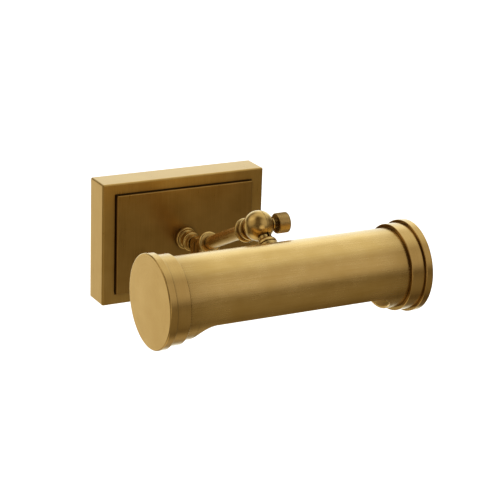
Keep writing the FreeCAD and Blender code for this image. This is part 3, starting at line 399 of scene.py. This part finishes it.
tube_stop = arm_length - 16.6
tube_bore, tube_radius = 3.25, 4.25
tube_brass = satin_brass("satin_brass_tube", on_arm, (0.5, 0.5, 18.0), 0.28)
shape = bmesh.new()
lathe(shape, on_arm, [(socket, tube_bore, 0), (socket, tube_radius, 0), (tube_stop, tube_radius, 0),
                      (tube_stop, tube_bore, 0)], closed=True)
arm_rod = piece("arm_rod", shape, tube_brass)
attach(arm_rod, "arm")
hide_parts("arm_tube")
dress(tube_brass, "arm_tube")


# End collar: a turned brass sleeve with two half-round beads and a groove between them. It joins the
# tube to the swivel's spigot and is soldered inside.

collar_start, collar_end = arm_length - 19.0, arm_length - 11.1
collar_bead_width, groove_radius, first_bead_radius, last_bead_radius = 2.6, 5.5, 7.5, 7.0
shape = bmesh.new()
lathe(shape, on_arm, [(collar_start, socket_radius, 0.1),
                      *bead(collar_start, collar_bead_width, groove_radius, first_bead_radius)[1:],
                      *bead(collar_end - collar_bead_width, collar_bead_width, groove_radius,
                            last_bead_radius)[:-1],
                      (collar_end, tube_bore, 0), (tube_stop, tube_bore, 0), (tube_stop, socket_radius, 0)],
      closed=True)
arm_collar = piece("arm_collar", shape, arm_brass)
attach(arm_collar, "arm")
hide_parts("arm_end_collar")
dress(arm_brass, "arm_end_collar")


# Ball swivel: two turned half balls, each with its neck, clamped face to face over a thin friction
# washer. Finer turned and polished a little brighter than the arm.

shade_low, shade_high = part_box("end_cap_right")
shade_axis = Vector((0, (shade_low.y + shade_high.y) / 2, (shade_low.z + shade_high.z) / 2))
stem_way = (shade_axis - ball).normalized()
stem_drop = (shade_axis - ball).length / MM
on_stem = along(ball, stem_way)
across_ball = along(ball, (1, 0, 0), (0, 1, 0))
inner_brass = satin_brass("satin_brass_swivel_inner", on_arm, 0.4, 0.22)
outer_brass = satin_brass("satin_brass_swivel_outer", on_stem, 0.4, 0.25)
dress(inner_brass, "swivel_inner")
dress(outer_brass, "swivel_outer", "swivel_washer", "thumb_washer", "shade_stem")


# Thumbscrew: a turned brass screw that clamps the two half balls. Its head has a straight knurl round
# the rim and a shallow recess in the end.

thumb_brass = satin_brass("satin_brass_thumbscrew", across_ball, 0.4, 0.28, "#C4A468", "#D4B67C")
screw_tip, shank_radius = -6.85, 2.4
head_start, head_end, head_radius, head_chamfer = 11.5, 19.0, 6.2, 0.4
recess_radius, recess_depth = 3.6, 0.4
knurls, knurl_gap, knurl_depth = 56, 0.12, 0.16
shape = bmesh.new()
lathe(shape, across_ball, [(screw_tip, 0, 0), (screw_tip, shank_radius, 0.3), (head_start, shank_radius, 0.2),
                           (head_start, head_radius - head_chamfer, 0.1),
                           (head_start + head_chamfer, head_radius, 0),
                           (head_end - head_chamfer, head_radius, 0),
                           (head_end, head_radius - head_chamfer, 0.1), (head_end, recess_radius, 0.1),
                           (head_end - recess_depth, recess_radius - recess_depth, 0.1),
                           (head_end - recess_depth, 0, 0)], steps=knurls)
middle = ball.x + (head_start + head_end) / 2 * MM
band = [face for face in shape.faces if abs(face.calc_center_median().x - middle) < MM
        and abs(face.normal.x) < 0.1]
bmesh.ops.inset_individual(shape, faces=band, thickness=knurl_gap * MM, depth=-knurl_depth * MM)
thumb_knob = piece("thumb_knob", shape, thumb_brass)
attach(thumb_knob, "thumb")
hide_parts("thumbscrew")
dress(thumb_brass, "thumbscrew")


# Half neck: the outer half ball's neck is turned with it and split on the same plane, so it shows as a
# half round between the ball and the bell; same brass and finish as the half ball.

split_face, neck_start, neck_waist, neck_end = 1.65, 7.6, 9.4, 11.05
neck_start_radius, neck_waist_radius, neck_end_radius = 4.9, 4.5, 4.8
shape = bmesh.new()
lathe(shape, upright, [(neck_start, 0, 0), (neck_start, neck_start_radius, 0),
                       (neck_waist, neck_waist_radius, 1.0), (neck_end, neck_end_radius, 0.2),
                       (neck_end, 0, 0)])
bmesh.ops.bisect_plane(shape, geom=shape.verts[:] + shape.edges[:] + shape.faces[:], dist=MM / 1000,
                       plane_co=(split_face * MM, 0, 0), plane_no=(1, 0, 0), clear_inner=True)
bmesh.ops.edgeloop_fill(shape, edges=[edge for edge in shape.edges if edge.is_boundary])
shape.transform(on_stem)
half_neck = piece("half_neck", shape, outer_brass)
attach(half_neck, "shade")


# Bell collar: a turned brass bell with a dome, a fine groove and a skirt, whose foot is cut as a saddle to
# sit on the round shade. The threaded stem pulls it down on the shade's back.

shade_radius, seat_gap = 24.1, 0.05
bell_top, dome_start, groove_start, groove_floor, groove_end, bell_foot = 11.0, 12.0, 14.4, 14.65, 15.0, 18.6
bell_mouth_radius, bell_radius, bell_groove_radius = 4.5, 6.43, 5.6
neck_bore, neck_bore_end, stem_bore = 3.65, 13.5, 2.55
stem_brass = satin_brass("satin_brass_bell", on_stem, 0.5, 0.26)
shape = bmesh.new()
lathe(shape, upright, [(bell_top, neck_bore, 0), (bell_top, bell_mouth_radius, 0.1),
                       (dome_start, bell_radius, 2.05), (groove_start, bell_radius, 0.34),
                       (groove_floor, bell_groove_radius, 0.1), (groove_end, bell_radius, 0.3),
                       (bell_foot, bell_radius, 0), (bell_foot, stem_bore, 0),
                       (neck_bore_end, stem_bore, 0), (neck_bore_end, neck_bore, 0)], closed=True)
# The corners of the foot are drawn onto the saddle, just clear of the shade.
for corner in shape.verts:
    if corner.co.z > (bell_foot - 0.5) * MM:
        saddle = math.sqrt(((shade_radius + seat_gap) * MM) ** 2 - corner.co.y ** 2)
        corner.co.z = stem_drop * MM - saddle
shape.transform(on_stem)
bell = piece("bell", shape, stem_brass)
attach(bell, "shade")
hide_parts("bell_collar")
dress(stem_brass, "bell_collar")


# Shade: rolled brass sheet, closed round at both ends and open below between them, with rounded corners to
# the mouth. Brushed along its length and pale inside, which is painted light; the bell's stem and nut hold it.

shade_wall, lip_round = 1.2, 0.25
half_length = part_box("shade_tube")[1].x / MM
mouth_half, mouth_corner, mouth_angle, last_station = 65.4, 12.0, 62.2, 71
mouth_edge = shade_radius * math.cos(math.radians(mouth_angle))
on_shade = along(shade_axis, (1, 0, 0), (0, 1, 0))
shade_brass = satin_brass("satin_brass_shade", on_shade, (0.5, 0.5, 20.0), 0.26, "#DCB974", "#E8C787",
                          browner_ends=(46, 76))
# Stations along half of the shade, close together where the mouth's corner bends.
bends = 10
corner_stations = [mouth_half - mouth_corner + mouth_corner * math.sin(math.pi / 2 * turn / bends)
                   for turn in range(bends + 1)]
stations = [0, 15, 30, 42, *corner_stations, last_station, half_length]
stations = [-station for station in reversed(stations[1:])] + stations


def lip(station):
    """Angle from the top of the shade to the sheet's edge at a place along it, in radians."""
    past = max(abs(station) - (mouth_half - mouth_corner), 0)
    depth = mouth_edge + mouth_corner - math.sqrt(max(mouth_corner ** 2 - past ** 2, 0))
    return math.pi - math.acos(min(depth / shade_radius, 1))


def rolled_sheet(shape, stations, starts, ends, rows):
    """A grid wrapped round the shade's axis between two edges, one column for each station."""
    made = bmesh.ops.create_grid(shape, x_segments=len(stations) - 1, y_segments=rows, size=0.5)
    for corner in made["verts"]:
        station = stations[round((corner.co.x + 0.5) * (len(stations) - 1))]
        angle = starts(station) + (corner.co.y + 0.5) * (ends(station) - starts(station))
        corner.co = (station * MM, math.sin(angle) * shade_radius * MM, math.cos(angle) * shade_radius * MM)


closing = lip(mouth_half)
shape = bmesh.new()
rolled_sheet(shape, stations, lambda station: -lip(station), lip, rows=96)
for side in (-1, 1):
    rolled_sheet(shape, [side * station for station in (mouth_half, last_station, half_length)],
                 lambda station: closing, lambda station: math.tau - closing, rows=14)
bmesh.ops.remove_doubles(shape, verts=shape.verts, dist=MM / 100)
bmesh.ops.recalc_face_normals(shape, faces=shape.faces)
if sum(face.normal.dot(face.calc_center_median() * Vector((0, 1, 1))) for face in shape.faces) < 0:
    bmesh.ops.reverse_faces(shape, faces=shape.faces)
shape.transform(Matrix.Translation(shade_axis))
shade_sheet = piece("shade_sheet", shape, shade_brass, flats=False)
# The inside is a pale straw colour and half matt: painted light, paler than the brass so that the inside
# shows lit. It is the sheet's second material, which its wall takes on the inside.
painted_light_inside = mottled("pale_inside_painted_light", 12.5, 3.0, "#EAD298", "#F3E0AC", Metallic=0.1, Roughness=0.5)[0]
shade_sheet.data.materials.append(painted_light_inside)
sheet_wall = shade_sheet.modifiers.new("wall", "SOLIDIFY")
sheet_wall.thickness = shade_wall * MM
sheet_wall.offset = -1
sheet_wall.use_even_offset = True
sheet_wall.material_offset = 1
soft_lip = shade_sheet.modifiers.new("soft_lip", "BEVEL")
soft_lip.width = lip_round * MM
soft_lip.segments = 2
soft_lip.limit_method = "ANGLE"
soft_lip.angle_limit = math.radians(50)
shade_sheet.modifiers.new("even_shading", "WEIGHTED_NORMAL")
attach(shade_sheet, "shade")
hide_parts("shade_tube")
dress(shade_brass, "shade_tube")


# End rings and end caps: two rings soldered round the shade's ends, and two flat discs with a rounded edge
# and a spigot that plugs the shade. Turned from brass, slightly smoother than the rest.

band_start, band_radius = 72.4, 26.3
cap_end, cap_radius, cap_sheet = shade_high.x / MM, 27.9, 1.8
spigot_start, spigot_bore = 75.4, 21.25
spigot_radius = shade_radius - shade_wall - seat_gap
ring_brass = satin_brass("satin_brass_rings", on_shade, 0.5, 0.20, "#D0AD6D", "#D9B778")
for side, hand in ((-1, "left"), (1, "right")):
    outward = along(shade_axis, (side, 0, 0), (0, 1, 0))
    shape = bmesh.new()
    lathe(shape, outward, [(band_start, shade_radius + seat_gap, 0.1), (band_start, band_radius, 0.4),
                           (half_length, band_radius, 0.25), (half_length, shade_radius + seat_gap, 0)],
          closed=True, steps=144)
    ring = piece(f"shade_ring_{hand}", shape, ring_brass)
    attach(ring, "shade")
    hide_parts(f"end_ring_{hand}")
    shape = bmesh.new()
    lathe(shape, outward, [(cap_end - cap_sheet, 0, 0), (cap_end - cap_sheet, spigot_bore, 0.6),
                           (spigot_start, spigot_bore, 0.2), (spigot_start, spigot_radius, 0.2),
                           (half_length, spigot_radius, 0), (half_length, cap_radius, 0.4),
                           (cap_end, cap_radius, 0.7), (cap_end, 0, 0)], steps=144)
    cap = piece(f"shade_cap_{hand}", shape, ring_brass)
    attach(cap, "shade")
    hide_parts(f"end_cap_{hand}")
    dress(ring_brass, f"end_ring_{hand}", f"end_cap_{hand}")


# Lamp holder: a cup moulded in dark brown phenolic, with a faint flow pattern and a dull shine. One
# screw through its floor fixes it to the bracket.

phenolic = mottled("moulded_phenolic", 4.55, 4.0, "#1C1512", "#33261F", (0.35, 0.7), swirl=0.6,
                   Roughness=0.38, IOR=1.55)[0]
cup_radius, cup_bore, cup_floor, screw_hole = 10.0, 6.8, 4.0, 1.55
cup_start, cup_end = (corner.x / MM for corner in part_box("lamp_holder"))
shape = bmesh.new()
lathe(shape, on_shade, [(cup_start, screw_hole, 0), (cup_start, cup_radius, 0.8), (cup_end, cup_radius, 0.5),
                        (cup_end, cup_bore, 0.4), (cup_start + cup_floor, cup_bore, 0),
                        (cup_start + cup_floor, screw_hole, 0)], closed=True)
holder_cup = piece("holder_cup", shape, phenolic)
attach(holder_cup, "shade")
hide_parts("lamp_holder")
dress(phenolic, "lamp_holder")


# Screw shell and centre contact: pressed from thin brass strip and set into the holder's cup. Lightly
# tarnished, so they are bright with darker, duller freckles.

contact, tree, shader, tarnish = mottled("pressed_contact_brass", 2.86, 3.0, "#B58A45", "#E0BE72",
                                         (0.35, 0.65), Metallic=1.0)
dull = add(tree, "ShaderNodeMapRange", {"To Min": 0.35, "To Max": 0.2}, {"Value": tarnish.outputs["Fac"]})
tree.links.new(dull.outputs["Result"], shader.inputs["Roughness"])
dress(contact, "holder_shell", "centre_contact")


# Lamp base: a screw cap drawn from thin brass and nickel plated, screwed into the holder's shell.
# A warm silver colour, with a slight mist where it was handled.

nickel, tree, shader, mist = mottled("nickel_plated_brass", 2.5, 2.0, "#BDB7AB", "#D2CDC2", Metallic=1.0)
dull = add(tree, "ShaderNodeMapRange", {"To Min": 0.18, "To Max": 0.3}, {"Value": mist.outputs["Fac"]})
tree.links.new(dull.outputs["Result"], shader.inputs["Roughness"])
dress(nickel, "lamp_base")


# Lamp tube: blown opal glass with a domed end, cemented into the base. Milky and glossy, since light
# spreads a little way into it, and slightly clouded.

opal = mottled("opal_glass", 16.7, 1.0, "#EFECE4", "#F6F4EF", Roughness=0.16, IOR=1.5, Subsurface_Weight=0.3,
               Subsurface_Scale=1.0 * MM, Coat_Weight=0.4, Coat_Roughness=0.05)[0]
glass_radius, glass_neck, glass_rim, glass_shoulder = 10.0, 5.95, 5.0, 7.0
glass_start, glass_end = (corner.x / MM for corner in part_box("lamp_glass"))
shape = bmesh.new()
lathe(shape, on_shade, [(glass_start, glass_rim, 0), (glass_start, glass_neck, 0.3),
                        (glass_start + glass_shoulder, glass_radius, 3.0),
                        (glass_end, glass_radius, glass_radius - 0.02), (glass_end, 0, 0)])
envelope = piece("lamp_envelope", shape, opal)
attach(envelope, "shade")
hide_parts("lamp_glass")
dress(opal, "lamp_glass")


# Filament: a stick of coils coated with yellow phosphor, held inside the lamp tube. The lamp isn't lit.
# It is matt, with a ring for each coil, 0.8 mm apart. A wave's bands repeat every tau / 20 of its Scale.

filament, tree, shader = blank("phosphor_filament", Roughness=0.6)
place = add(tree, "ShaderNodeTexCoord")
coil = add(tree, "ShaderNodeTexWave", {"Scale": per_metre(0.785) * math.tau / 20},
           {"Vector": place.outputs["Object"]}, bands_direction="X")
tone = add(tree, "ShaderNodeValToRGB", None, {"Fac": coil.outputs["Fac"]})
tone.color_ramp.elements[0].color = linear("#D9A23C")
tone.color_ramp.elements[1].color = linear("#F0C45C")
tree.links.new(tone.outputs["Color"], shader.inputs["Base Color"])
dress(filament, "lamp_filament")


# Floor: a sheet of matt white paper, as far below the lamp as a wall light hangs above the floor. The
# brass doesn't mirror it, so all that it mirrors is the studio.

floor_drop, floor_half = -1.5, 6
shape = bmesh.new()
bmesh.ops.create_grid(shape, x_segments=1, y_segments=1, size=floor_half,
                      matrix=Matrix.Translation((0, 0, floor_drop)))
paper = mottled("matt_white_paper", 1.11, 2.0, "#FAFAF9", "#FDFDFC", Roughness=0.9)[0]
floor = piece("floor", shape, paper, flats=False)
floor.visible_glossy = False


# Studio: a white room. What the brass mirrors is a dim warm room with soft lamps in it; the camera and
# matt surfaces see it white.

world = bpy.data.worlds.new("studio")
bpy.context.scene.world = world
world.use_nodes = True
tree = world.node_tree
way = add(tree, "ShaderNodeTexCoord").outputs["Generated"]
# Each soft lamp: name, direction from the object, angles of full and of no light, colour and strength.
lamps = [
    ("window_behind", (0.45, 0.88, -0.12), 18, 58, (0.92, 1.05, 1.15)),
    ("window_top", (0.45, 0.30, 0.84), 12, 44, (0.60, 0.64, 0.66)),
    ("overhead", (0.40, -0.70, 0.60), 8, 40, (0.36, 0.36, 0.36)),
    ("front", (-0.05, -1.0, 0.0), 4, 26, (0.60, 0.57, 0.50)),
    ("front_low", (0.20, -0.80, -0.56), 8, 45, (0.13, 0.12, 0.09)),
    ("left_wall", (-0.45, 0.84, -0.30), 4, 34, (0.46, 0.44, 0.34)),
    ("left_top", (-0.45, 0.42, 0.79), 4, 34, (0.43, 0.43, 0.42)),
    ("left_end", (-0.85, 0.10, 0.52), 6, 40, (0.32, 0.30, 0.25)),
    ("left_front", (-0.82, -0.44, -0.36), 4, 34, (0.30, 0.28, 0.22)),
    ("floor", (-0.10, 0.10, -0.99), 10, 42, (0.60, 0.56, 0.46)),
]
room = add(tree, "ShaderNodeCombineXYZ", {"X": 0.11, "Y": 0.085, "Z": 0.05})
room.label = "room"
light = room.outputs["Vector"]
for name, towards, full, none, colour in lamps:
    aim = add(tree, "ShaderNodeVectorMath", {1: Vector(towards).normalized()}, {0: way},
              operation="DOT_PRODUCT")
    beam = add(tree, "ShaderNodeMapRange", {"From Min": math.cos(math.radians(none)),
                                            "From Max": math.cos(math.radians(full))},
               {"Value": aim.outputs["Value"]}, interpolation_type="SMOOTHSTEP")
    glow = add(tree, "ShaderNodeVectorMath", {0: colour}, {"Scale": beam.outputs["Result"]}, operation="SCALE")
    glow.label = name
    light = add(tree, "ShaderNodeVectorMath", None, {0: light, 1: glow.outputs["Vector"]},
                operation="ADD").outputs["Vector"]
mirrored = add(tree, "ShaderNodeBackground", None, {"Color": light})
white = add(tree, "ShaderNodeBackground", {"Color": (1, 1, 1, 1), "Strength": 1.12})
ray = add(tree, "ShaderNodeLightPath")
seen = add(tree, "ShaderNodeMixShader", None,
           {0: ray.outputs["Is Glossy Ray"], 1: white.outputs[0], 2: mirrored.outputs[0]})
tree.links.new(seen.outputs[0], tree.nodes["World Output"].inputs["Surface"])


# Camera: a long lens to the left of the object, a little above it and slightly rolled. The view keeps
# plain colours, with a mild contrast.

camera_place, focal_length, sensor_width = (-0.4799, -0.9969, 0.3594), 126.9, 36
azimuth, elevation, roll = (math.radians(angle) for angle in (28.44, 18.65, 2.09))
forward = Vector((math.sin(azimuth) * math.cos(elevation), math.cos(azimuth) * math.cos(elevation),
                  -math.sin(elevation)))
right = Vector((math.cos(azimuth), -math.sin(azimuth), 0))
up = right.cross(forward)
right_rolled = right * math.cos(roll) + up * math.sin(roll)
up_rolled = up * math.cos(roll) - right * math.sin(roll)
lens = bpy.data.cameras.new("camera")
lens.sensor_width = sensor_width
lens.lens = focal_length
camera = bpy.data.objects.new("camera", lens)
bpy.context.scene.collection.objects.link(camera)
camera.matrix_world = (Matrix.Translation(camera_place)
                       @ Matrix((right_rolled, up_rolled, -forward)).transposed().to_4x4())
bpy.context.scene.camera = camera
bpy.context.scene.view_settings.view_transform = "Standard"
bpy.context.scene.view_settings.look = "Medium High Contrast"
